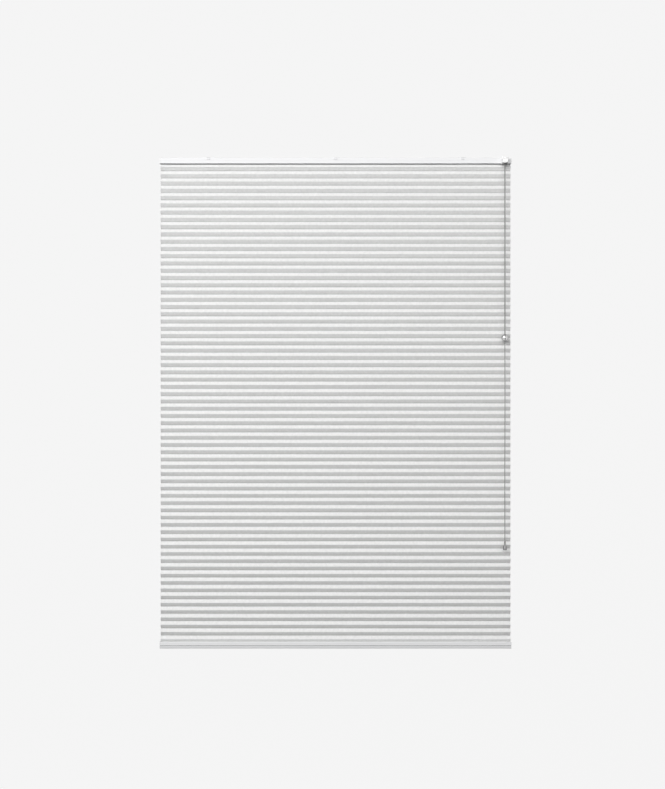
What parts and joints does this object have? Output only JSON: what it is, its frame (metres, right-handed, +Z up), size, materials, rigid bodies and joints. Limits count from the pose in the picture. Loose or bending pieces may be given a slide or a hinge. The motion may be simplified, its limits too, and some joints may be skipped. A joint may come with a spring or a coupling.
{
  "type": "pleated blind",
  "caption": "Corded honeycomb pleated blind, fully lowered, with headrail, clips, bottom rail, cord lock, pull cord and tassel.",
  "frame": {"origin": "middle screw hole, in the plane of the clips' top faces", "axes": "+Z up, -Y towards the room, +X along the rails towards the cord side"},
  "size_m": [0.918, 0.0496, 1.2837],
  "materials": {
    "white_rail": "satin",
    "clip_steel": "satin",
    "white_plastic": "satin",
    "strip_plastic": "matte",
    "fabric": "matte",
    "cord": "matte",
    "bright_metal": "polished",
    "steel": "satin"
  },
  "bodies": {
    "headrail_set": {"headrail": "white_rail", "headrail_cap_left": "white_plastic", "headrail_cap_right": "white_plastic", "mounting_clip_left": "clip_steel", "mounting_clip_middle": "clip_steel", "mounting_clip_right": "clip_steel", "fabric_strip_top": "strip_plastic", "pleated_fabric": "fabric", "cord_guide_left": "white_plastic", "cord_guide_right": "white_plastic", "lock_body": "white_plastic", "lock_pawl_pin": "steel", "cord_outlet_hood": "white_plastic", "cord_outlet_ring": "bright_metal", "lift_cord_left": "cord", "lift_cord_right": "cord", "pull_strand_left": "cord", "pull_strand_right": "cord"},
    "bottom_rail_set": {"bottom_rail": "white_rail", "bottom_rail_cap_left": "white_plastic", "bottom_rail_cap_right": "white_plastic", "fabric_strip_bottom": "strip_plastic", "cord_anchor_left": "white_plastic", "cord_anchor_right": "white_plastic"},
    "pull_set": {"connector_half_left": "bright_metal", "connector_half_right": "bright_metal", "lower_pull_cord": "cord", "tassel": "bright_metal"},
    "pawl": {"lock_pawl": "steel"}
  },
  "joints": [
    {"name": "blind_lift", "type": "slide", "parent": "headrail_set", "child": "bottom_rail_set", "axis": [0, 0, 1], "range_m": [0, 1.16], "deforming": ["pleated_fabric", "lift_cord_left", "lift_cord_right"]},
    {"name": "cord_pull", "type": "slide", "parent": "headrail_set", "child": "pull_set", "axis": [0, 0, -1], "range_m": [0, 1.16], "deforming": ["pull_strand_left", "pull_strand_right"]},
    {"name": "pawl_swing", "type": "hinge", "parent": "headrail_set", "child": "pawl", "pos_m": [0.4126, 0.0049, -0.0054], "axis": [0, -1, 0], "range_deg": [0, 14]}
  ],
  "couplings": [
    {"joint": "cord_pull", "follows": "blind_lift", "ratio": 1}
  ]
}
